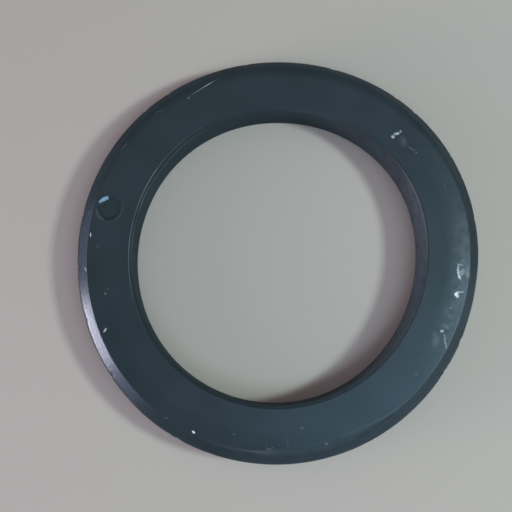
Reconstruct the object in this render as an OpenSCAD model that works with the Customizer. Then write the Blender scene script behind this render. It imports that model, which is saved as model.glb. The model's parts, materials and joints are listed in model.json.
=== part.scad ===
// Throttle body gasket: one moulded rubber ring.
// The section is a flat band with a straight bore, lightly bevelled where the bore
// meets the faces. Outside, a chamfer runs down from each face to a plain land at
// mid-height, where the two halves of the mould met. The ring lies on its lower
// face, with its axis on Z and its centre over the origin.

/* [Section] */
// Diameter of the straight bore
bore_d = 57.8; // [30:0.2:90]
// Radial width of the section, from the bore to the outer land
section_w = 10.9; // [10:0.1:16]
// Height from the lower face to the upper face
ring_h = 8; // [6:0.25:12]

/* [Outer edge] */
// Radial width of the chamfer outside each face
chamfer_w = 2.3; // [0.8:0.1:3.2]
// Height of the chamfer outside each face
chamfer_h = 1.5; // [0.8:0.1:2.8]

/* [Bore edge] */
// Radial width of the bevel at each end of the bore
bevel_w = 0.6; // [0.2:0.1:1]
// Height of the bevel at each end of the bore
bevel_h = 0.6; // [0.2:0.1:1.5]

/* [Mould mark] */
// Diameter of the round mark where it meets the upper face
mark_d = 4.8; // [3.8:0.1:5.6]
// Diameter of the mark's flat floor
mark_floor_d = 3.2; // [2:0.1:3.6]
// Depth of the mark's flat floor
mark_depth = 0.3; // [0.2:0.05:1.2]
// Distance of the mark's centre outside the middle of the face
mark_offset = 0.9; // [-1.2:0.1:1.2]
// Place of the mark round the ring, in degrees from +X
mark_angle = 166; // [0:1:359]

/* [Hidden] */

rubber_colour = "#333D43";
cut_clearance = 1;

bore_r = bore_d / 2;
outer_r = bore_r + section_w;
face_inner_r = bore_r + bevel_w;
face_outer_r = outer_r - chamfer_w;
face_middle_r = (face_inner_r + face_outer_r) / 2;

$fn = 180;

// The ring's section on one side of its axis, from the bore out to the land
module ring_section() {
    polygon([
        [bore_r, bevel_h],
        [face_inner_r, 0],
        [face_outer_r, 0],
        [outer_r, chamfer_h],
        [outer_r, ring_h - chamfer_h],
        [face_outer_r, ring_h],
        [face_inner_r, ring_h],
        [bore_r, ring_h - bevel_h]
    ]);
}

// A round sinking with a flat floor at z = 0 and a sloped wall, d across at the height of its depth
module sloped_sinking(d, floor_d, depth) {
    slope = (d - floor_d) / depth;
    top = depth + cut_clearance;
    cylinder(h = top, d1 = floor_d, d2 = floor_d + slope * top);
}

module gasket_ring() {
    color(rubber_colour)
        difference() {
            rotate_extrude()
                ring_section();
            rotate(mark_angle)
                translate([face_middle_r + mark_offset, 0, ring_h - mark_depth])
                    sloped_sinking(mark_d, mark_floor_d, mark_depth);
        }
}

gasket_ring();
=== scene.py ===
"""Throttle body gasket: a moulded rubber ring with the marks of handling, on a pale studio floor."""

import json
import math
from collections import namedtuple

import bpy
import numpy as np
from mathutils import Matrix, Vector


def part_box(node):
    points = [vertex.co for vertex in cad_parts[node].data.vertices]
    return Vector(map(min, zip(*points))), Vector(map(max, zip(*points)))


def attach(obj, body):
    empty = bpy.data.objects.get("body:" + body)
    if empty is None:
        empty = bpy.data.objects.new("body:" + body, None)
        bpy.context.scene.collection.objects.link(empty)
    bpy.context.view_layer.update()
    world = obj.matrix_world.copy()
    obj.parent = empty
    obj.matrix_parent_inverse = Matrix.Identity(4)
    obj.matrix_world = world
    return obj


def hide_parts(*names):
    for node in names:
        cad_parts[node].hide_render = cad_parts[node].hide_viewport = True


bl_info = {
    "name": "Throttle Body Gasket",
    "version": (1, 0, 0),
    "blender": (4, 5, 0),
    "location": "View3D > Sidebar > Gasket",
    "description": "Builds a moulded rubber gasket ring and a pale studio around it",
    "category": "Object",
}

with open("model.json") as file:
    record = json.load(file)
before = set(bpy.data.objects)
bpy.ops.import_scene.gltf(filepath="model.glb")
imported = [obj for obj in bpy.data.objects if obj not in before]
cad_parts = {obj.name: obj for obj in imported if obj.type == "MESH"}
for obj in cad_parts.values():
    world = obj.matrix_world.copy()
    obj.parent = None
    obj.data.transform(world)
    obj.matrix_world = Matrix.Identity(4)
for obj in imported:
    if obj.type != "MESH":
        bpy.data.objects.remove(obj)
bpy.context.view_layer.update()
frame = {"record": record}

MM = 0.001

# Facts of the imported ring: its mounts give the bore, the land and the middle of the faces
RING_NODE = "gasket_ring"
MOUNTS = {mount["name"]: mount for mount in frame["record"]["mounts"]}
RING_LOW, RING_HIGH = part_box(RING_NODE)
RING_HEIGHT = RING_HIGH.z - RING_LOW.z
BORE_RADIUS = MOUNTS["bore"]["dims"]["r_mm"] * MM
BEVEL_HEIGHT = (RING_HEIGHT - MOUNTS["bore"]["dims"]["length_mm"] * MM) / 2
LAND_RADIUS = MOUNTS["outer_land"]["dims"]["r_mm"] * MM
CHAMFER_HEIGHT = (RING_HEIGHT - MOUNTS["outer_land"]["dims"]["length_mm"] * MM) / 2
FACE_MIDDLE_RADIUS = MOUNTS["upper_face"]["pos_m"][0]
BEVEL_WIDTH = 0.6 * MM
CHAMFER_WIDTH = BORE_RADIUS + BEVEL_WIDTH + LAND_RADIUS - 2 * FACE_MIDDLE_RADIUS

# A mark on the upper face: its centre in degrees from +X and mm from the axis, its length and width
# in mm, the direction of its length in degrees from +X, and how strongly it shows, from 0 to 1
Mark = namedtuple("Mark", "angle radius length width turn strength")

SCRATCHES_AND_GLINTS = (
    # A painted glint: a pale speck on a nick where the face meets the chamfer, inside the chamfer's highlight
    Mark(185.2, 37.6, 0.9, 0.24, 118, 0.30),
    Mark(168.4, 38.0, 1.2, 0.40, 60, 0.04),
    Mark(114.2, 36.8, 5.8, 0.10, 34, 0.28),
    Mark(112.9, 37.0, 2.4, 0.13, 35, 0.42),
    Mark(120.1, 36.1, 0.5, 0.34, 30, 0.12),
    Mark(145.6, 37.3, 1.8, 0.20, 46, 0.05),
    Mark(130.1, 37.2, 1.6, 0.30, 28, 0.04),
    Mark(174.9, 36.8, 0.8, 0.18, 90, 0.65),
    Mark(178.4, 35.2, 0.6, 0.50, 90, 0.03),
    Mark(193.7, 34.4, 0.4, 0.35, 0, 0.12),
    Mark(192.3, 33.8, 0.4, 0.30, 0, 0.05),
    Mark(204.4, 36.5, 0.9, 0.32, 58, 0.45),
    # A painted glint on a nick in the chamfer
    Mark(235.7, 37.9, 0.6, 0.28, 0, 0.06),
    Mark(244.4, 37.6, 0.62, 0.34, -40, 0.85),
    Mark(272.1, 35.9, 1.3, 0.18, 90, 0.04),
    Mark(266.4, 37.1, 1.0, 0.20, -30, 0.09),
    Mark(267.4, 36.9, 0.7, 0.24, 20, 0.07),
    Mark(38.9, 33.8, 0.8, 0.20, -20, 0.10),
    Mark(37.7, 34.0, 0.7, 0.20, -25, 0.08),
    Mark(36.4, 34.1, 0.4, 0.32, 0, 0.09),
    Mark(22.3, 35.6, 1.2, 0.25, 90, 0.03),
)

RESIDUE = (
    Mark(45.8, 32.8, 0.62, 0.58, 0, 0.50),
    Mark(45.6, 33.8, 1.00, 0.56, 12, 0.56),
    Mark(45.3, 34.7, 0.46, 0.42, 0, 0.36),
    Mark(355.5, 35.0, 0.9, 0.34, 92, 0.32),
    Mark(354.0, 35.0, 1.4, 0.44, 97, 0.58),
    Mark(352.4, 35.3, 1.0, 0.44, 118, 0.58),
    Mark(356.2, 35.4, 1.2, 0.30, -8, 0.22),
    Mark(353.9, 35.8, 0.8, 1.40, -20, 0.22),
    Mark(346.8, 35.2, 1.0, 0.66, 60, 1.00),
    Mark(346.1, 35.5, 0.5, 0.50, 0, 0.62),
    Mark(347.7, 36.0, 1.2, 0.30, 12, 0.34),
    Mark(348.9, 35.5, 0.9, 0.22, 30, 0.14),
    Mark(341.9, 34.7, 0.4, 0.38, 0, 0.14),
    Mark(334.0, 34.7, 0.58, 0.52, 0, 0.42),
    Mark(332.6, 35.6, 1.5, 0.36, 95, 0.17),
    Mark(330.9, 36.3, 1.7, 0.40, -78, 0.20),
    Mark(318.0, 34.8, 0.6, 0.60, 0, 0.05),
    Mark(276.8, 33.5, 0.6, 0.40, 0, 0.07),
    Mark(283.4, 37.1, 0.6, 0.45, 30, 0.10),
    Mark(255.8, 35.4, 0.5, 0.40, 45, 0.05),
)

SMEARS = (
    Mark(42.0, 33.6, 2.0, 1.1, 100, 0.22),
    Mark(354.0, 36.7, 3.0, 1.1, 90, 0.85),
    Mark(340.1, 34.6, 2.2, 1.2, 110, 0.42),
    Mark(335.8, 35.1, 1.6, 0.9, -20, 0.55),
    Mark(330.4, 34.5, 2.4, 1.4, 60, 0.32),
    Mark(357.4, 36.1, 1.6, 1.4, 90, 0.52),
    Mark(332.0, 33.6, 1.2, 0.8, 40, 0.22),
)

# A stretch of the ring: its middle in degrees from +X, its reach to each side in degrees, and its
# strength at the middle
Arc = namedtuple("Arc", "middle reach strength")

# Form: where the faces' outer edges are soft, where the chamfers' feet are worn round, and how many mm
# of the land went with the trimmed flash
SOFT_EDGES = (Arc(92, 62, 1.0), Arc(284, 19, 0.8))
WORN_FEET = (Arc(203, 23, 1.0),)
TRIMMED_LAND = (Arc(194, 24, 0.14), Arc(346, 11, 0.13))

# Wear of the section's eight edges all round, from the lower end of the bore on, and then of two lines on
# the upper bevel, which lie at these shares of its width
EDGE_WEAR = (0.1, 0.0, 0.0, 0.0, 0.15, 0.15, 0.2, 0.1, 0.0, 0.0)
BEVEL_LINES = (0.27, 0.55)
WEAR_AND_HIGHLIGHT_WIDTH = 0.075 * MM

# Wear and painted highlight lines on some of these edges and lines, on single arcs, by their number
ARC_WEAR_AND_HIGHLIGHTS = {
    1: (Arc(140, 18, 0.45),),
    2: (Arc(167, 33, 0.8),),
    3: (Arc(259, 11, 0.17), Arc(332, 26, 0.2)),
    8: (Arc(170, 18, 0.5),),
    9: (Arc(19, 17, 0.7),),
}

# Gloss: where the upper bevel is matt, where the upper face is dull, and where its outer rim is
MATT_BEVEL = (Arc(170, 75, 0.4), Arc(48, 20, 0.4))
DULL_FACE = (Arc(234, 52, 1.0),)
DULL_RIM = (Arc(279, 24, 0.17),)

# Haze colour: dust and a painted lift of light on the bore's wall, the arcs where its upper part takes less
# of it, a painted lift of light on the upper chamfer, and a painted highlight on the rim of the mould mark,
# by the direction from the mark's centre
BORE_DUST_AND_LIGHT = (Arc(-14, 66, 0.26),)
BORE_TOP_FADE = (Arc(-48, 50, 0.55), Arc(50, 22, 0.55))
CHAMFER_LIGHT_LIFT = (Arc(-74, 17, 0.13),)
MARK_RIM_HIGHLIGHT = (Arc(216, 30, 0.3), Arc(-30, 45, 0.15))

# Specular level of the satin rubber, which gloss raises towards 1
SATIN_LEVEL = 0.38

# Points round the ring, closer together within a reach in radians of the mould mark
TURN_COUNT = 760
DENSE_REACH = 0.11
DENSE_GAIN = 3.5

# A lamp: the direction it shines from in degrees, its distance, its width and height in metres, its power
# in watts and its colour
Lamp = namedtuple("Lamp", "name azimuth elevation distance size power colour")

LAMPS = (
    Lamp("key_lamp", -7, 46, 0.55, (0.08, 0.08), 1.85, (0.79, 1.0, 0.96)),
    Lamp("window_lamp", -61, 65, 0.50, (0.42, 0.12), 0.96, (0.60, 0.79, 1.0)),
    Lamp("side_lamp", 197, 8, 0.40, (0.15, 0.07), 1.09, (1.0, 0.80, 0.84)),
    Lamp("ceiling_lamp", 35, 68, 0.60, (0.30, 0.30), 0.1, (0.85, 0.92, 1.0)),
    Lamp("fill_lamp", 190, 18, 0.60, (0.70, 0.16), 1.1, (0.78, 0.71, 1.0)),
    Lamp("front_lamp", 312, 9, 0.45, (1.00, 0.12), 0.31, (0.78, 0.83, 1.0)),
)
AIR_COLOUR = (1.0, 0.82, 0.86, 1)
AIR_STRENGTH = 0.374

# The camera's place and the point it looks at, and its lens and sensor in mm
EYE = Vector((-7.82, -18.65, 130.79)) * MM
AIM = Vector((-4.41, 0.40, 0.0)) * MM
LENS = 45.0
SENSOR = 36.0

# The studio sweep in metres: the radii of its floor and its cove, the height of its wall, and how far from
# the middle its grading starts and ends
SWEEP_FLOOR, SWEEP_COVE, SWEEP_WALL = 0.55, 0.25, 0.7
GRADING_START, GRADING_END = 0.15, 0.6


def linear(hex_colour):
    """Linear RGB of an sRGB hex colour such as 2E383E."""
    srgb = np.array([int(hex_colour[i:i + 2], 16) for i in (0, 2, 4)]) / 255
    return np.where(srgb <= 0.04045, srgb / 12.92, ((srgb + 0.055) / 1.055) ** 2.4).tolist()


class GasketSizes(bpy.types.PropertyGroup):
    """Sizes of the moulded ring, in metres."""

    bore_radius: bpy.props.FloatProperty(
        name="Bore radius", description="Radius of the straight bore",
        default=BORE_RADIUS, precision=5, unit="LENGTH")
    land_radius: bpy.props.FloatProperty(
        name="Land radius", description="Radius of the outer land, where the ring is widest",
        default=LAND_RADIUS, precision=5, unit="LENGTH")
    height: bpy.props.FloatProperty(
        name="Height", description="Height from the lower face to the upper face",
        default=RING_HEIGHT, precision=5, unit="LENGTH")
    chamfer_width: bpy.props.FloatProperty(
        name="Chamfer width", description="Radial width of the outer chamfers",
        default=CHAMFER_WIDTH, precision=5, unit="LENGTH")
    chamfer_height: bpy.props.FloatProperty(
        name="Chamfer height", description="Height of the outer chamfers",
        default=CHAMFER_HEIGHT, precision=5, unit="LENGTH")
    bevel_width: bpy.props.FloatProperty(
        name="Bevel width", description="Radial width of the bevels at the ends of the bore",
        default=BEVEL_WIDTH, precision=5, unit="LENGTH")
    bevel_height: bpy.props.FloatProperty(
        name="Bevel height", description="Height of the bevels at the ends of the bore",
        default=BEVEL_HEIGHT, precision=5, unit="LENGTH")
    bore_edge_radius: bpy.props.FloatProperty(
        name="Bore edge radius", description="Radius that softens both edges of a bore bevel",
        default=0.14 * MM, precision=5, unit="LENGTH")
    face_edge_radius: bpy.props.FloatProperty(
        name="Face edge radius",
        description="Radius of the edge between a face and its chamfer where it is crisp",
        default=0.18 * MM, precision=5, unit="LENGTH")
    soft_edge_radius: bpy.props.FloatProperty(
        name="Soft edge radius", description="Radius of the same edge where the mould has worn round",
        default=5.0 * MM, precision=5, unit="LENGTH")
    land_edge_radius: bpy.props.FloatProperty(
        name="Land edge radius", description="Radius that softens the edge between a chamfer and the land",
        default=0.14 * MM, precision=5, unit="LENGTH")
    worn_foot_radius: bpy.props.FloatProperty(
        name="Worn foot radius", description="Radius of the same edge where it has worn round",
        default=1.2 * MM, precision=5, unit="LENGTH")
    parting_proud: bpy.props.FloatProperty(
        name="Parting line", description="How far the trimmed parting line stands out of the land",
        default=0.12 * MM, precision=5, unit="LENGTH")
    parting_width: bpy.props.FloatProperty(
        name="Parting line width", description="Width of the parting line on the land",
        default=0.16 * MM, precision=5, unit="LENGTH")
    nick_depth: bpy.props.FloatProperty(
        name="Nick depth", description="Depth of the deepest nicks in the outer edge",
        default=0.16 * MM, precision=5, unit="LENGTH")
    sway: bpy.props.FloatVectorProperty(
        name="Out of round",
        description="Heights of the two, three and four waves in the soft ring's outline",
        default=(0.47 * MM, 0.17 * MM, 0.10 * MM), precision=5, unit="LENGTH")
    sway_angle: bpy.props.FloatVectorProperty(
        name="Out of round angle",
        description="Where the first crest of the two, three and four waves lies",
        default=(math.radians(58.3), math.radians(28.3), math.radians(36.4)), unit="ROTATION")
    mark_radius: bpy.props.FloatProperty(
        name="Mould mark radius", description="Radius of the round mould mark in the upper face",
        default=2.5 * MM, precision=5, unit="LENGTH")
    mark_floor_radius: bpy.props.FloatProperty(
        name="Mould mark floor", description="Radius of the mould mark's flat floor",
        default=1.7 * MM, precision=5, unit="LENGTH")
    mark_depth: bpy.props.FloatProperty(
        name="Mould mark depth", description="Depth of the mould mark's flat floor",
        default=0.3 * MM, precision=5, unit="LENGTH")
    mark_lip: bpy.props.FloatProperty(
        name="Mould mark lip", description="Height of the lip that stands round the mould mark",
        default=0.03 * MM, precision=5, unit="LENGTH")
    mark_offset: bpy.props.FloatProperty(
        name="Mould mark offset", description="How far the mould mark lies outside the middle of the face",
        default=1.2 * MM, precision=5, unit="LENGTH")
    mark_angle: bpy.props.FloatProperty(
        name="Mould mark angle", description="Place of the mould mark round the ring, from +X",
        default=math.radians(165.6), unit="ROTATION")


class GasketColours(bpy.types.PropertyGroup):
    """Colours of the rubber, of what lies on it, and of the studio."""

    rubber: bpy.props.FloatVectorProperty(
        name="Rubber", description="Clean moulded rubber", subtype="COLOR", default=linear("222B2F"))
    bloom: bpy.props.FloatVectorProperty(
        name="Bloom", description="Rubber with a soft bloom on it", subtype="COLOR", default=linear("273135"))
    # Also the colour of painted highlight lines along arcs of the upper bevel and of the upper face's outer
    # edge
    worn_and_highlit_edge: bpy.props.FloatVectorProperty(
        name="Worn edge", description="Rubber rubbed pale along its edges", subtype="COLOR",
        default=linear("888D8F"))
    # The haze colour also paints light: lifts on the bore's wall and the upper chamfer, and a highlight on
    # the mould mark's rim
    haze_and_light: bpy.props.FloatVectorProperty(
        name="Haze", description="Wiped-on haze near the outer edge", subtype="COLOR",
        default=linear("8A979E"))
    # Also the colour of two painted glints among the scratch marks
    residue: bpy.props.FloatVectorProperty(
        name="Residue", description="Dried specks and scratches", subtype="COLOR", default=linear("E4EEF5"))
    floor: bpy.props.FloatVectorProperty(
        name="Floor", description="Plain pale floor", subtype="COLOR", default=linear("ACA59D"))
    backdrop: bpy.props.FloatVectorProperty(
        name="Backdrop", description="Graded paper at the wall", subtype="COLOR", default=linear("A4A6A8"))


class GasketFinish(bpy.types.PropertyGroup):
    """Roughness of the rubber's surfaces."""

    face_roughness: bpy.props.FloatProperty(
        name="Face roughness", description="Roughness of the flat faces", default=0.38, subtype="FACTOR")
    chamfer_roughness: bpy.props.FloatProperty(
        name="Chamfer roughness", description="Roughness of the chamfers and the land", default=0.26,
        subtype="FACTOR")
    bore_roughness: bpy.props.FloatProperty(
        name="Bore roughness", description="Roughness of the bore wall and its bevels", default=0.9,
        subtype="FACTOR")
    mark_roughness: bpy.props.FloatProperty(
        name="Mark roughness", description="Roughness of the mould mark, which a polished pin left",
        default=0.13, subtype="FACTOR")


def smooth_step(start, end, values):
    """0 before start, 1 past end and 3t^2 - 2t^3 between them."""
    t = np.clip((values - start) / (end - start), 0, 1)
    return t * t * (3 - 2 * t)


def bell(values, middle, width):
    """A bell curve: 1 at its middle and exp(-1) a width away."""
    return np.exp(-((values - middle) / width) ** 2)


def arc_level(angles, arcs):
    """The strongest of some arcs round the ring: each is its strength times exp(-(away / reach)^4)."""
    level = np.zeros_like(angles)
    for arc in arcs:
        away = np.angle(np.exp(1j * (angles - math.radians(arc.middle))))
        level = np.maximum(level, arc.strength * np.exp(-(away / math.radians(arc.reach)) ** 4))
    return level


def rounded_section(corners, radii, runs, arc_cells):
    """Closed outline in radius and height, clockwise, with an arc at each corner.

    An arc of radius r that turns by a touches both sides r tan(a / 2) away from the corner, and its
    points are the centre plus r times a normal that turns from one side's to the next side's. A run
    is the straight stretch after a corner, given by the shares of its length at which points lie.
    Gives the points, the way along the outline at each and at its end, and the way along it at the middle
    of each corner's arc.
    """
    corners = np.array(corners)
    radii = np.array(radii)
    ahead = np.roll(corners, -1, 0) - corners
    ahead /= np.linalg.norm(ahead, axis=1)[:, None]
    behind = np.roll(ahead, 1, 0)
    cross = behind[:, 0] * ahead[:, 1] - behind[:, 1] * ahead[:, 0]
    turn = np.arctan2(cross, (behind * ahead).sum(1))
    setback = (radii * np.tan(np.abs(turn) / 2))[:, None]
    start = corners - behind * setback
    finish = corners + ahead * setback
    normal_angle = np.arctan2(behind[:, 0], -behind[:, 1])
    centre = start - radii[:, None] * np.stack([np.cos(normal_angle), np.sin(normal_angle)], 1)
    share = np.linspace(0, 1, arc_cells + 1)
    stretches = []
    for i, run in enumerate(runs):
        angle = normal_angle[i] + turn[i] * share
        stretches.append(centre[i] + radii[i] * np.stack([np.cos(angle), np.sin(angle)], 1))
        run_end = start[(i + 1) % len(corners)]
        stretches.append(finish[i] + np.array(run)[:, None] * (run_end - finish[i]))
    points = np.concatenate(stretches)
    step = np.linalg.norm(np.roll(points, -1, 0) - points, axis=1)
    along = np.concatenate([[0], np.cumsum(step)])
    arc_starts = np.cumsum([0] + [len(s) for s in stretches])[:-1:2]
    return points, along, along[arc_starts + arc_cells // 2]


def even_run(cells):
    """Shares of a straight run that divide it evenly, without its two ends."""
    return np.linspace(0, 1, cells + 1)[1:-1]


def centred_run(cells):
    """Shares of a straight run, closer together at its middle: 1/2 + u^3/4 + u/4 for u in -1..1."""
    u = np.linspace(-1, 1, cells + 1)[1:-1]
    return 0.5 + u ** 3 / 4 + u / 4


def ring_angles(count, dense_at, dense_reach, gain):
    """Angles round the ring, closer together near one place: the inverse of a density's running sum."""
    fine = np.linspace(0, 2 * np.pi, 8192)
    away = np.angle(np.exp(1j * (fine - dense_at)))
    density = 1 + gain * bell(away, 0, dense_reach)
    total = np.concatenate([[0], np.cumsum((density[1:] + density[:-1]) / 2)])
    return np.interp(np.arange(count) / count * total[-1], total, fine)


def ring_noise(angles, fewest, most, seed):
    """Noise that closes on itself: cosines of whole wave counts, seeded phases, unit spread."""
    waves = np.arange(fewest, most)
    phases = np.random.default_rng(seed).uniform(0, 2 * np.pi, len(waves))
    total = (np.cos(angles[:, None] * waves + phases) / np.sqrt(waves)).sum(1)
    return total / total.std()


def ring_nicks(angles, radius, count, depth, seed):
    """Small notches at seeded places round an edge: the deepest of a row of bell curves, in metres."""
    draw = np.random.default_rng(seed)
    places = draw.uniform(0, 2 * np.pi, count)
    reaches = draw.uniform(0.2, 0.6, count) * MM
    depths = draw.uniform(0.2, 1.0, count) ** 2 * depth
    away = np.angle(np.exp(1j * (angles[:, None] - places))) * radius
    return (depths * bell(away, 0, reaches)).max(1)


def mark_sinking(distance, rim, floor, depth):
    """Depth of the mould mark at a distance from its centre: a flat floor, then a straight slope up."""
    return depth * np.clip((rim - distance) / (rim - floor), 0, 1)


def polished_leaf(sizes, mark_distance, mark_direction):
    """The leaf-shaped spot that is polished on the mould mark's wall, from 0 to 1.

    It is an ellipse that is bent round the mark's centre, with a soft rim.
    """
    leaf_middle, leaf_reach, leaf_width = math.radians(126), math.radians(34), 0.62 * MM
    along_wall = np.angle(np.exp(1j * (mark_direction - leaf_middle))) / leaf_reach
    wall_middle = (sizes.mark_radius + sizes.mark_floor_radius) / 2
    across_wall = (mark_distance - wall_middle) / leaf_width
    return smooth_step(1.15, 0.75, np.hypot(along_wall, across_wall))


def ring_section(sizes, face_edge, land_edge):
    """The ring's section, clockwise from the lower end of the bore, with its edges softened.

    Points lie closer together next to the upper bevel, where fine rubbed lines and painted highlight lines
    run. Gives the points in radius and height, their way along the outline and the edges' places on it.
    """
    face_in = sizes.bore_radius + sizes.bevel_width
    face_out = sizes.land_radius - sizes.chamfer_width
    top = sizes.height
    corners = (
        (sizes.bore_radius, sizes.bevel_height), (sizes.bore_radius, top - sizes.bevel_height),
        (face_in, top), (face_out, top),
        (sizes.land_radius, top - sizes.chamfer_height), (sizes.land_radius, sizes.chamfer_height),
        (face_out, 0.0), (face_in, 0.0))
    bore_edge = sizes.bore_edge_radius
    radii = (bore_edge, bore_edge, bore_edge, face_edge, land_edge, land_edge, face_edge, bore_edge)
    bore_run = np.append(even_run(6), 0.985)
    bevel_run = np.array([0.1, 0.25, 0.5, 0.75, 0.9])
    face_run = np.insert(even_run(46), 0, 0.006)
    runs = (
        bore_run, bevel_run, face_run, even_run(6),
        centred_run(12), even_run(5), even_run(10), even_run(2))
    return rounded_section(corners, radii, runs, arc_cells=4)


def ring_swell(sizes, angles):
    """How far the soft ring lies outside its true circle: a sum of two, three and four cosine waves."""
    waves = np.array([2, 3, 4])
    return (np.array(sizes.sway) * np.cos(waves * (angles[:, None] - np.array(sizes.sway_angle)))).sum(1)


def ring_surface(sizes, crisp, soft, worn, edge_distance, angles):
    """The ring as a grid of points, angles by section, closed both ways.

    Sections with crisp edges, soft face edges and worn chamfer feet are mixed at each angle and revolved
    about Z, with the land cut back where its flash was trimmed, and the radius gets the swell by which the
    soft ring lies out of round. A ridge follows the middle of the land, nicks notch the foot of the upper
    chamfer, and the mould mark is sunk into the upper face, where the swell takes it. Points close to the
    mark's rim are moved onto it, which keeps the rim clean.
    Gives the points, their distance from the mould mark's centre, far off for all but the upper face,
    and their direction from it.
    """
    softness = arc_level(angles, SOFT_EDGES)[:, None, None]
    foot_wear = arc_level(angles, WORN_FEET)[:, None, None]
    section = crisp + softness * (soft - crisp) + foot_wear * (worn - crisp)
    radius, height = section[..., 0], section[..., 1]
    top = sizes.height
    swell = ring_swell(sizes, angles)
    long_waves = ring_noise(angles, fewest=2, most=9, seed=4)
    short_waves = ring_noise(angles, fewest=40, most=200, seed=3)
    proud = sizes.parting_proud * np.clip(0.6 + 0.25 * long_waves + 0.25 * short_waves, 0.1, 1.6)
    on_land = radius > sizes.land_radius - 0.01 * MM
    ridge = bell(height, top / 2, sizes.parting_width) * on_land
    nicks = ring_nicks(angles, sizes.land_radius, count=46, depth=sizes.nick_depth, seed=11)
    chamfer_foot = bell(edge_distance[:, 4], 0, 0.35 * MM)
    trimmed = np.minimum(radius, sizes.land_radius - arc_level(angles, TRIMMED_LAND)[:, None] * MM)
    grid_radius = trimmed + swell[:, None] + proud[:, None] * ridge - nicks[:, None] * chamfer_foot
    points = np.stack([
        grid_radius * np.cos(angles)[:, None],
        grid_radius * np.sin(angles)[:, None],
        height], -1)

    mark_swell = ring_swell(sizes, np.array([sizes.mark_angle]))[0]
    mark_place = FACE_MIDDLE_RADIUS + sizes.mark_offset + mark_swell
    centre = mark_place * np.array([math.cos(sizes.mark_angle), math.sin(sizes.mark_angle)])
    offset = points[..., :2] - centre
    distance = np.linalg.norm(offset, axis=-1)
    face_skin, rim_reach, far_off = 0.3 * MM, 0.06 * MM, 1.0
    on_face = points[..., 2] > top - face_skin
    snapped = on_face & (np.abs(distance - sizes.mark_radius) < rim_reach)
    mark_distance = np.where(snapped, sizes.mark_radius, distance)
    points[..., :2] = centre + offset * (mark_distance / distance)[..., None]
    sunk = mark_sinking(mark_distance, sizes.mark_radius, sizes.mark_floor_radius, sizes.mark_depth)
    lip = sizes.mark_lip * bell(mark_distance, sizes.mark_radius + 0.1 * MM, 0.16 * MM)
    points[..., 2] += np.where(on_face, lip - sunk, 0)
    return points, np.where(on_face, mark_distance, far_off), np.arctan2(offset[..., 1], offset[..., 0])


def ring_wear_and_highlights(angles, along, edges):
    """How pale each point is along the edges, from 0 to 1: bell curves across the section's edges and the
    upper bevel.

    The lower edges and the chamfers' feet are a little rubbed all round. The upper edges of the bore, two
    lines on the bevel between them and the upper face's outer edge are pale along a few arcs only, partly
    rubbed and partly painted highlight lines.
    """
    lines = np.append(edges, edges[1] + np.array(BEVEL_LINES) * (edges[2] - edges[1]))
    strengths = np.tile(np.array(EDGE_WEAR), (len(angles), 1))
    for line, arcs in ARC_WEAR_AND_HIGHLIGHTS.items():
        strengths[:, line] = arc_level(angles, arcs)
    return (strengths[:, None] * bell(along[:-1, None], lines, WEAR_AND_HIGHLIGHT_WIDTH)).max(-1)


def ring_roughness(finish, sizes, along, edges, mark_distance):
    """Roughness of each point, by the stretch of the section it lies on and by the mould mark."""
    face, chamfer, bore = finish.face_roughness, finish.chamfer_roughness, finish.bore_roughness
    stretches = np.array([bore, bore, bore, face, chamfer, chamfer, chamfer, face, bore])
    rows = stretches[np.searchsorted(edges, along[:-1])]
    return np.where(mark_distance < sizes.mark_radius, finish.mark_roughness, rows)


def section_radius(sizes, points, angles):
    """Radius of each point before the ring's swell, so that it tells the place in the section."""
    return np.hypot(points[..., 0], points[..., 1]) - ring_swell(sizes, angles)[:, None]


def ring_gloss(sizes, points, angles, along, edges, mark_distance, leaf):
    """How much glossier than plain satin each point is, from below 0 to 1.

    It is 1 on the polished leaf in the mould mark's wall. It is below 0 on the rest of that wall, on the
    upper bevel, on a dull arc of the upper face, more so towards its outer edge, and on an arc of its rim.
    """
    bevel = (along[:-1] > edges[1]) & (along[:-1] < edges[2])
    face = (along[:-1] > edges[2]) & (along[:-1] < edges[3])
    radius = section_radius(sizes, points, angles)
    outward = smooth_step(FACE_MIDDLE_RADIUS - 1.0 * MM, FACE_MIDDLE_RADIUS + 2.5 * MM, radius)
    dull = arc_level(angles, DULL_FACE)[:, None] * (0.1 + 0.2 * outward)
    face_out = sizes.land_radius - sizes.chamfer_width
    rim = arc_level(angles, DULL_RIM)[:, None] * bell(radius, face_out - 0.65 * MM, 0.45 * MM)
    matt = arc_level(angles, MATT_BEVEL)[:, None]
    wall = (mark_distance > sizes.mark_floor_radius) & (mark_distance < sizes.mark_radius)
    wall_gloss = 1.4 * leaf - 0.4
    return np.where(wall, wall_gloss, -matt * bevel - dull * face - rim)


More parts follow.
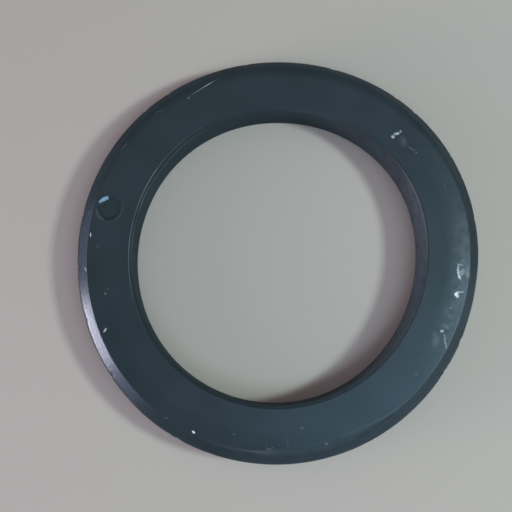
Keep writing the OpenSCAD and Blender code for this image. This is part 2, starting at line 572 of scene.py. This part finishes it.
def ring_haze_and_light(sizes, points, angles, mark_distance, mark_direction):
    """How much of the pale haze colour each point takes, from 0 to 1: the strongest of the haze, dust and
    painted light that lie there.

    Haze is wiped over the right of the upper face, more towards its outer edge. Dust and a painted lift of
    light lie on the right of the bore's wall, less towards the top of two arcs. A painted lift of light lies
    along the upper chamfer on an arc, and a painted highlight lies on arcs of the mould mark's rim.
    """
    radius = section_radius(sizes, points, angles)
    angle = np.arctan2(points[..., 1], points[..., 0])
    face_out = sizes.land_radius - sizes.chamfer_width
    outward = smooth_step(face_out - 5.0 * MM, face_out - 0.6 * MM, radius)
    wiped = 0.37 * bell(angle, math.radians(-7), math.radians(23)) * outward
    height = points[..., 2]
    upper_face = height > sizes.height - 0.1 * MM
    upper_half = height > sizes.height / 2
    bore_wall = radius < sizes.bore_radius + sizes.bevel_width
    # Painted light: the dust on the bore's wall also stands in for light that falls on the right of the wall,
    # and takes less of the pale colour towards the top of two arcs
    top_fade = arc_level(angle, BORE_TOP_FADE) * smooth_step(1.0 * MM, 7.5 * MM, height)
    dust_and_light = arc_level(angle, BORE_DUST_AND_LIGHT) * (1 - top_fade) * bore_wall
    # Painted light: on an arc at the bottom, a band along the top of the upper chamfer takes the pale colour
    # to lift a dark band there
    chamfer_light_lift = arc_level(angle, CHAMFER_LIGHT_LIFT) * bell(radius, face_out + 0.35 * MM, 0.4 * MM) * upper_half
    # Painted highlight: the mould mark's rim takes the pale colour on arcs to the lower left and to the
    # right, where it catches light
    mark_rim = bell(mark_distance, sizes.mark_radius - 0.05 * MM, 0.2 * MM)
    rubbed = arc_level(mark_direction, MARK_RIM_HIGHLIGHT) * mark_rim
    return np.maximum.reduce([np.where(upper_face, wiped, dust_and_light), chamfer_light_lift, rubbed])


def closed_grid_mesh(name, points, turn_shares, section_shares, attributes):
    """A mesh of quads on a grid that closes both ways, smooth, with a UV map and named values per point.

    U is the share of a turn and V the share of the section's length, so each quad's corners take the
    next column's and the next row's values, and the last ones end at 1.
    """
    turns, steps = points.shape[:2]
    index = np.arange(turns * steps).reshape(turns, steps)
    next_turn = np.roll(index, -1, 0)
    quads = np.stack([index, np.roll(index, -1, 1), np.roll(next_turn, -1, 1), next_turn], -1)
    u = np.append(turn_shares, 1.0)
    u_low, v_low = np.meshgrid(u[:-1], section_shares[:-1], indexing="ij")
    u_high, v_high = np.meshgrid(u[1:], section_shares[1:], indexing="ij")
    uv = np.stack([u_low, v_low, u_low, v_high, u_high, v_high, u_high, v_low], -1)

    mesh = bpy.data.meshes.new(name)
    mesh.vertices.add(turns * steps)
    mesh.vertices.foreach_set("co", points.astype(np.float32).ravel())
    mesh.loops.add(quads.size)
    mesh.loops.foreach_set("vertex_index", quads.astype(np.int32).ravel())
    mesh.polygons.add(turns * steps)
    mesh.polygons.foreach_set("loop_start", np.arange(0, quads.size, 4, dtype=np.int32))
    mesh.update(calc_edges=True)
    mesh.polygons.foreach_set("use_smooth", np.ones(turns * steps, dtype=bool))
    mesh.uv_layers.new(name="section").data.foreach_set("uv", uv.astype(np.float32).ravel())
    for key, values in attributes.items():
        layer = mesh.attributes.new(key, "FLOAT", "POINT")
        layer.data.foreach_set("value", values.astype(np.float32).ravel())
    if mesh.validate():
        raise RuntimeError(f"the mesh of {name} was not sound")
    return mesh


def add_node(tree, kind, sockets=None, **settings):
    """Adds a node, sets its settings, and sets or links its inputs by name or number."""
    made = tree.nodes.new(kind)
    for key, value in settings.items():
        setattr(made, key, value)
    for key, value in (sockets or {}).items():
        if isinstance(value, bpy.types.NodeSocket):
            tree.links.new(value, made.inputs[key])
        else:
            made.inputs[key].default_value = value
    return made


def mark_field(tree, place, marks, softness, height):
    """Strength of the strongest mark at a place: each is an ellipse with a soft rim.

    A mark reaches a little way down from the face, so that it also shows on the edges beside it.
    """
    reach_down = 1.5 * MM
    field = None
    for mark in marks:
        angle = math.radians(mark.angle)
        centre = (mark.radius * MM * math.cos(angle), mark.radius * MM * math.sin(angle), height)
        ellipse = add_node(
            tree, "ShaderNodeMapping",
            {"Vector": place, "Location": centre, "Rotation": (0, 0, math.radians(mark.turn)),
             "Scale": (mark.length * MM / 2, mark.width * MM / 2, reach_down)},
            vector_type="TEXTURE")
        reach = add_node(tree, "ShaderNodeVectorMath", {0: ellipse.outputs[0]}, operation="LENGTH")
        shown = add_node(
            tree, "ShaderNodeMapRange",
            {"Value": reach.outputs["Value"], "From Min": 1 + softness, "From Max": 1 - softness,
             "To Min": 0.0, "To Max": mark.strength},
            interpolation_type="SMOOTHSTEP").outputs[0]
        if field is not None:
            shown = add_node(tree, "ShaderNodeMath", {0: field, 1: shown}, operation="MAXIMUM").outputs[0]
        field = shown
    return field


def moulded_rubber(colours, sizes):
    """EPDM rubber, compression-moulded in a polished steel mould and left as it came out.

    It gives the eye a deep blue-black with a broad satin sheen, bluish where wax has bloomed, a little paler
    along rubbed edges, with a dry haze and specks where it was handled. Painted light is in its colour too:
    highlight lines along some edges, two glints, lifts of light on the bore and the upper chamfer, and a
    highlight on the mould mark's rim.
    """
    material = bpy.data.materials.new("moulded_epdm_rubber")
    material.use_nodes = True
    tree = material.node_tree
    tree.nodes.clear()
    coordinates = add_node(tree, "ShaderNodeTexCoord")
    place = coordinates.outputs["Object"]

    # Bloom clouds, smudges, dried crumbs and the fine grain of the mould, which is drawn coarse to show
    cloud_size, smudge_size, crumb_size, grain_size = 9 * MM, 1.6 * MM, 0.5 * MM, 0.35 * MM
    clouds = add_node(tree, "ShaderNodeTexNoise", {"Vector": place, "Scale": 1 / cloud_size, "Detail": 3.0})
    smudges = add_node(tree, "ShaderNodeTexNoise", {"Vector": place, "Scale": 1 / smudge_size, "Detail": 4.0})
    crumbs = add_node(tree, "ShaderNodeTexNoise", {"Vector": place, "Scale": 1 / crumb_size, "Detail": 3.0})
    grain = add_node(tree, "ShaderNodeTexNoise", {"Vector": place, "Scale": 1 / grain_size, "Detail": 2.0})

    # Streaks of wiping run round the ring: long along U, fine along V
    turn_length = 2 * math.pi * FACE_MIDDLE_RADIUS
    section_length = 2 * (sizes.land_radius - sizes.bore_radius + sizes.height)
    streak_length, streak_width = 5 * MM, 0.45 * MM
    stretched = add_node(
        tree, "ShaderNodeMapping",
        {"Vector": coordinates.outputs["UV"],
         "Scale": (turn_length / streak_length, section_length / streak_width, 1)})
    streaks = add_node(
        tree, "ShaderNodeTexNoise", {"Vector": stretched.outputs[0], "Scale": 1.0, "Detail": 2.0})

    # Dried residue has ragged outlines: its place is shifted by the crumbs, up to a quarter of a millimetre
    ragged = add_node(
        tree, "ShaderNodeVectorMath",
        {0: crumbs.outputs["Color"], 1: (0.5, 0.5, 0.5)}, operation="SUBTRACT")
    ragged = add_node(
        tree, "ShaderNodeVectorMath", {0: ragged.outputs[0], "Scale": 0.55 * MM}, operation="SCALE")
    ragged = add_node(tree, "ShaderNodeVectorMath", {0: place, 1: ragged.outputs[0]}, operation="ADD")
    scratches_and_glints = mark_field(tree, place, SCRATCHES_AND_GLINTS, 0.45, sizes.height)
    specks = mark_field(tree, ragged.outputs[0], RESIDUE, 0.5, sizes.height)
    smears = mark_field(tree, ragged.outputs[0], SMEARS, 0.8, sizes.height)
    mottled = add_node(
        tree, "ShaderNodeMapRange",
        {"Value": crumbs.outputs["Fac"], "From Min": 0.35, "From Max": 0.62, "To Min": 0.55, "To Max": 1.1})
    specks = add_node(tree, "ShaderNodeMath", {0: specks, 1: mottled.outputs[0]}, operation="MULTIPLY")
    # The strongest of the scratch marks, two painted glints and the residue specks
    marks_and_glints = add_node(tree, "ShaderNodeMath", {0: scratches_and_glints, 1: specks.outputs[0]}, operation="MAXIMUM")

    # Colour: bloomed rubber, then pale rubbed edges with painted highlight lines, haze with painted light,
    # and residue, scratch marks and painted glints over it
    bloom_share = add_node(
        tree, "ShaderNodeMapRange", {"Value": clouds.outputs["Fac"], "From Min": 0.3, "From Max": 0.7})
    tone = add_node(
        tree, "ShaderNodeMix",
        {"Factor": bloom_share.outputs[0], "A": (*colours.rubber, 1), "B": (*colours.bloom, 1)},
        data_type="RGBA")
    # Rubbed edges, and painted highlight lines on some arcs of the upper bevel and the upper face's outer
    # edge
    edge_lines = add_node(tree, "ShaderNodeAttribute", attribute_name="edge_wear_and_highlight")
    broken = add_node(
        tree, "ShaderNodeMapRange",
        {"Value": streaks.outputs["Fac"], "From Min": 0.3, "From Max": 0.75, "To Min": 0.15, "To Max": 0.85})
    edge_line_share = add_node(
        tree, "ShaderNodeMath", {0: edge_lines.outputs["Fac"], 1: broken.outputs[0]}, operation="MULTIPLY")
    tone = add_node(
        tree, "ShaderNodeMix",
        {"Factor": edge_line_share.outputs[0], "A": tone.outputs["Result"], "B": (*colours.worn_and_highlit_edge, 1)},
        data_type="RGBA")
    # The haze attribute also carries painted light: lifts on the bore's wall and upper chamfer, and a
    # highlight on the mould mark's rim
    haze_and_light = add_node(tree, "ShaderNodeAttribute", attribute_name="haze_and_light")
    smudged = add_node(
        tree, "ShaderNodeMapRange",
        {"Value": smudges.outputs["Fac"], "From Min": 0.3, "From Max": 0.7, "To Min": 0.25, "To Max": 0.75})
    haze_and_light_share = add_node(
        tree, "ShaderNodeMath", {0: haze_and_light.outputs["Fac"], 1: smears}, operation="MAXIMUM")
    haze_and_light_share = add_node(
        tree, "ShaderNodeMath", {0: haze_and_light_share.outputs[0], 1: smudged.outputs[0]}, operation="MULTIPLY")
    tone = add_node(
        tree, "ShaderNodeMix",
        {"Factor": haze_and_light_share.outputs[0], "A": tone.outputs["Result"], "B": (*colours.haze_and_light, 1)},
        data_type="RGBA")
    tone = add_node(
        tree, "ShaderNodeMix",
        {"Factor": marks_and_glints.outputs[0], "A": tone.outputs["Result"], "B": (*colours.residue, 1)},
        data_type="RGBA")

    # Sheen: each stretch's own roughness, a little streaked, and rougher on residue, scratch marks and
    # painted glints
    finish = add_node(tree, "ShaderNodeAttribute", attribute_name="finish_roughness")
    streaked = add_node(
        tree, "ShaderNodeMapRange",
        {"Value": streaks.outputs["Fac"], "From Min": 0.3, "From Max": 0.7, "To Min": -0.04, "To Max": 0.04})
    roughness = add_node(
        tree, "ShaderNodeMath", {0: finish.outputs["Fac"], 1: streaked.outputs[0]}, operation="ADD")
    roughness = add_node(
        tree, "ShaderNodeMath", {0: marks_and_glints.outputs[0], 1: 0.3, 2: roughness.outputs[0]},
        operation="MULTIPLY_ADD")
    # Relief: the mould's grain and the streaks, about a hundredth of a millimetre, and the residue on them
    relief = add_node(
        tree, "ShaderNodeMath", {0: streaks.outputs["Fac"], 1: 0.4, 2: grain.outputs["Fac"]},
        operation="MULTIPLY_ADD")
    relief = add_node(
        tree, "ShaderNodeMath", {0: marks_and_glints.outputs[0], 1: 2.0, 2: relief.outputs[0]}, operation="MULTIPLY_ADD")
    bump = add_node(
        tree, "ShaderNodeBump",
        {"Height": relief.outputs[0], "Distance": 0.01 * MM, "Strength": 1.0})
    # Gloss varies over the ring, and the socket keeps the satin level for where the link is dropped
    gloss = add_node(tree, "ShaderNodeAttribute", attribute_name="gloss")
    level = add_node(
        tree, "ShaderNodeMath", {0: gloss.outputs["Fac"], 1: 1 - SATIN_LEVEL, 2: SATIN_LEVEL},
        operation="MULTIPLY_ADD")
    shader = add_node(
        tree, "ShaderNodeBsdfPrincipled",
        {"Base Color": tone.outputs["Result"], "Roughness": roughness.outputs[0], "IOR": 1.5,
         "Specular IOR Level": level.outputs[0], "Specular Tint": (*linear("CBEDFF"), 1),
         "Normal": bump.outputs[0]})
    shader.inputs["Specular IOR Level"].default_value = SATIN_LEVEL
    add_node(tree, "ShaderNodeOutputMaterial", {"Surface": shader.outputs[0]})
    return material


def studio_paper(colours, near, far):
    """Graded studio paper: matt and pale under the ring, darker at the wall, with a mottle of fibres."""
    material = bpy.data.materials.new("graded_studio_paper")
    material.use_nodes = True
    tree = material.node_tree
    tree.nodes.clear()
    place = add_node(tree, "ShaderNodeTexCoord").outputs["Object"]
    fibre_size = 4 * MM
    mottle = add_node(tree, "ShaderNodeTexNoise", {"Vector": place, "Scale": 1 / fibre_size, "Detail": 4.0})
    reach = add_node(tree, "ShaderNodeVectorMath", {0: place}, operation="LENGTH")
    graded = add_node(
        tree, "ShaderNodeMapRange",
        {"Value": reach.outputs["Value"], "From Min": near, "From Max": far}, interpolation_type="SMOOTHSTEP")
    share = add_node(
        tree, "ShaderNodeMath", {0: mottle.outputs["Fac"], 1: 0.08, 2: graded.outputs[0]},
        operation="MULTIPLY_ADD")
    tone = add_node(
        tree, "ShaderNodeMix",
        {"Factor": share.outputs[0], "A": (*colours.floor, 1), "B": (*colours.backdrop, 1)}, data_type="RGBA")
    shader = add_node(
        tree, "ShaderNodeBsdfPrincipled",
        {"Base Color": tone.outputs["Result"], "Roughness": 0.9, "IOR": 1.3})
    add_node(tree, "ShaderNodeOutputMaterial", {"Surface": shader.outputs[0]})
    return material


def sweep_surface(floor_radius, cove_radius, wall_height, turns=96, steps=24):
    """A round studio sweep: a flat disc, a quarter-round cove and an upright wall, revolved about Z."""
    cove = np.linspace(0, np.pi / 2, steps)
    disc = np.linspace(0.02, 1, 8)[:-1] * floor_radius
    radius = np.concatenate([disc, floor_radius + cove_radius * np.sin(cove)])
    height = np.concatenate([np.zeros_like(disc), cove_radius * (1 - np.cos(cove))])
    radius = np.append(radius, radius[-1])
    height = np.append(height, wall_height)
    angle = np.linspace(0, 2 * np.pi, turns, endpoint=False)
    points = np.stack([
        np.cos(angle)[:, None] * radius, np.sin(angle)[:, None] * radius,
        np.broadcast_to(height, (turns, len(radius)))], -1)
    index = np.arange(turns * len(radius)).reshape(turns, -1)
    following = np.roll(index, -1, 0)
    quads = np.stack([index[:, :-1], index[:, 1:], following[:, 1:], following[:, :-1]], -1)
    hub = index[:, 0]
    return points.reshape(-1, 3), quads.reshape(-1, 4), hub


def add_lamp(lamp):
    """Adds an area lamp that is aimed at the ring's centre and unseen by the camera."""
    data = bpy.data.lights.new(lamp.name, "AREA")
    data.shape = "RECTANGLE"
    data.size, data.size_y = lamp.size
    data.energy = lamp.power
    data.color = lamp.colour
    made = bpy.data.objects.new(lamp.name, data)
    azimuth, elevation = math.radians(lamp.azimuth), math.radians(lamp.elevation)
    level = math.cos(elevation)
    away = Vector((math.cos(azimuth) * level, math.sin(azimuth) * level, math.sin(elevation)))
    made.location = away * lamp.distance
    made.rotation_mode = "QUATERNION"
    made.rotation_quaternion = away.to_track_quat("Z", "Y")
    made.visible_camera = False
    bpy.context.scene.collection.objects.link(made)


class GASKET_OT_ring(bpy.types.Operator):
    """Build the moulded ring in place of its plain solid"""

    bl_idname = "gasket.ring"
    bl_label = "Build Ring"

    def execute(self, context):
        sizes, colours = context.scene.gasket_sizes, context.scene.gasket_colours
        finish = context.scene.gasket_finish
        crisp, along, edges = ring_section(sizes, sizes.face_edge_radius, sizes.land_edge_radius)
        soft, _, _ = ring_section(sizes, sizes.soft_edge_radius, sizes.land_edge_radius)
        worn, _, _ = ring_section(sizes, sizes.face_edge_radius, sizes.worn_foot_radius)
        edge_distance = np.abs(along[:-1, None] - edges)
        angles = ring_angles(TURN_COUNT, sizes.mark_angle, DENSE_REACH, DENSE_GAIN)
        points, mark_distance, mark_direction = ring_surface(sizes, crisp, soft, worn, edge_distance, angles)
        leaf = polished_leaf(sizes, mark_distance, mark_direction)
        values = {
            "edge_wear_and_highlight": ring_wear_and_highlights(angles, along, edges),
            "finish_roughness": ring_roughness(finish, sizes, along, edges, mark_distance),
            "haze_and_light": ring_haze_and_light(sizes, points, angles, mark_distance, mark_direction),
            "gloss": ring_gloss(sizes, points, angles, along, edges, mark_distance, leaf),
        }
        mesh = closed_grid_mesh("moulded_ring", points, angles / (2 * np.pi), along / along[-1], values)
        mesh.materials.append(moulded_rubber(colours, sizes))
        ring = bpy.data.objects.new("moulded_ring", mesh)
        context.scene.collection.objects.link(ring)
        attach(ring, "root")
        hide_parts(RING_NODE)
        return {"FINISHED"}


class GASKET_OT_stage(bpy.types.Operator):
    """Lay the pale floor, hang the lamps and set up the camera"""

    bl_idname = "gasket.stage"
    bl_label = "Build Studio"

    def execute(self, context):
        scene = context.scene
        points, quads, hub = sweep_surface(SWEEP_FLOOR, SWEEP_COVE, SWEEP_WALL)
        mesh = bpy.data.meshes.new("studio_sweep")
        mesh.from_pydata(points.tolist(), [], quads.tolist() + [hub.tolist()])
        mesh.polygons.foreach_set("use_smooth", np.ones(len(mesh.polygons), dtype=bool))
        mesh.materials.append(studio_paper(scene.gasket_colours, GRADING_START, GRADING_END))
        sweep = bpy.data.objects.new("studio_sweep", mesh)
        scene.collection.objects.link(sweep)

        for lamp in LAMPS:
            add_lamp(lamp)

        world = bpy.data.worlds.new("studio_air")
        world.use_nodes = True
        background = world.node_tree.nodes["Background"]
        background.inputs["Color"].default_value = AIR_COLOUR
        background.inputs["Strength"].default_value = AIR_STRENGTH
        scene.world = world

        forward = (AIM - EYE).normalized()
        right = forward.cross(Vector((0, 1, 0))).normalized()
        up = right.cross(forward)
        data = bpy.data.cameras.new("photo_camera")
        data.sensor_width, data.lens = SENSOR, LENS
        data.clip_start = 0.005
        camera = bpy.data.objects.new("photo_camera", data)
        camera.matrix_world = Matrix.Translation(EYE) @ Matrix((right, up, -forward)).transposed().to_4x4()
        scene.collection.objects.link(camera)
        scene.camera = camera
        scene.view_settings.view_transform = "Standard"
        return {"FINISHED"}


class GASKET_PT_panel(bpy.types.Panel):
    """Sizes, colours and steps of the gasket"""

    bl_idname = "GASKET_PT_panel"
    bl_label = "Throttle Body Gasket"
    bl_space_type = "VIEW_3D"
    bl_region_type = "UI"
    bl_category = "Gasket"

    def draw(self, context):
        scene = context.scene
        for group in (scene.gasket_sizes, scene.gasket_colours, scene.gasket_finish):
            box = self.layout.box()
            for name in group.__annotations__:
                box.prop(group, name)
        self.layout.operator(GASKET_OT_ring.bl_idname)
        self.layout.operator(GASKET_OT_stage.bl_idname)


CLASSES = (GasketSizes, GasketColours, GasketFinish, GASKET_OT_ring, GASKET_OT_stage, GASKET_PT_panel)


def register():
    for cls in CLASSES:
        bpy.utils.register_class(cls)
    bpy.types.Scene.gasket_sizes = bpy.props.PointerProperty(type=GasketSizes)
    bpy.types.Scene.gasket_colours = bpy.props.PointerProperty(type=GasketColours)
    bpy.types.Scene.gasket_finish = bpy.props.PointerProperty(type=GasketFinish)


def unregister():
    del bpy.types.Scene.gasket_finish
    del bpy.types.Scene.gasket_colours
    del bpy.types.Scene.gasket_sizes
    for cls in reversed(CLASSES):
        bpy.utils.unregister_class(cls)


def main():
    register()
    bpy.ops.gasket.ring()
    bpy.ops.gasket.stage()


if __name__ == "__main__":
    main()
